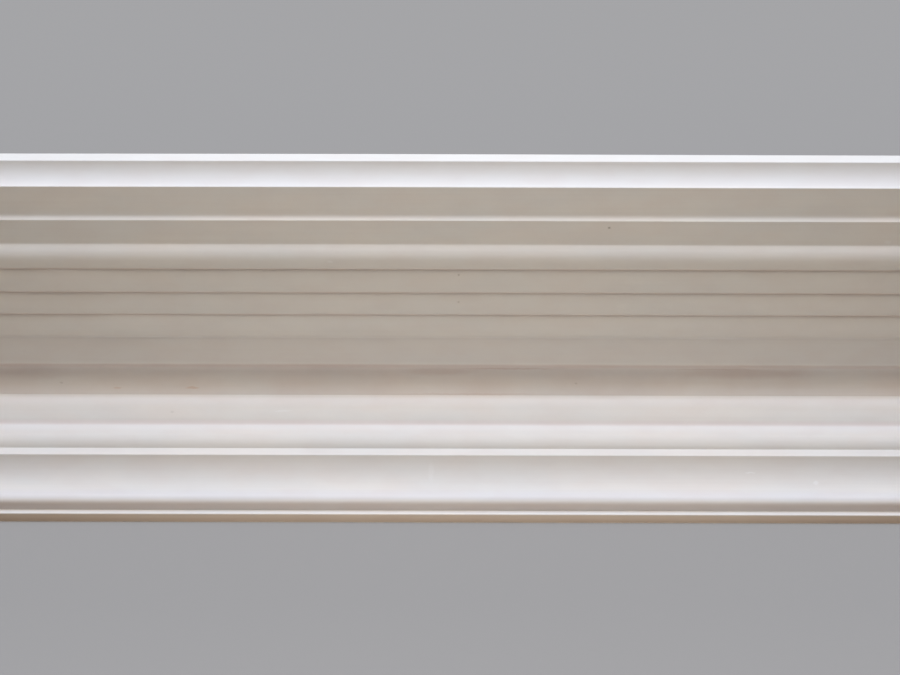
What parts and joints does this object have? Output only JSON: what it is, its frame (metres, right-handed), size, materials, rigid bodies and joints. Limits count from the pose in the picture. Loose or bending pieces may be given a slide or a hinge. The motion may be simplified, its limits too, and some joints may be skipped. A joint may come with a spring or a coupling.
{
  "type": "plaster cornice",
  "caption": "Plain run plaster cornice length with a deep stepped soffit, ovolo, coves and rounded wall members, for the corner of wall and ceiling.",
  "frame": {"origin": "middle of the wall face's box on the floor, halfway along the length and halfway between the ceiling face and the wall edge", "axes": "+X along the length, +Y out of the ceiling face, +Z from the wall face to the ceiling edge; the cornice lies on its wall face"},
  "size_m": [2, 0.1172, 0.2302],
  "materials": {
    "plaster": "matte"
  },
  "bodies": {
    "root": {"cornice": "plaster"}
  },
  "joints": []
}
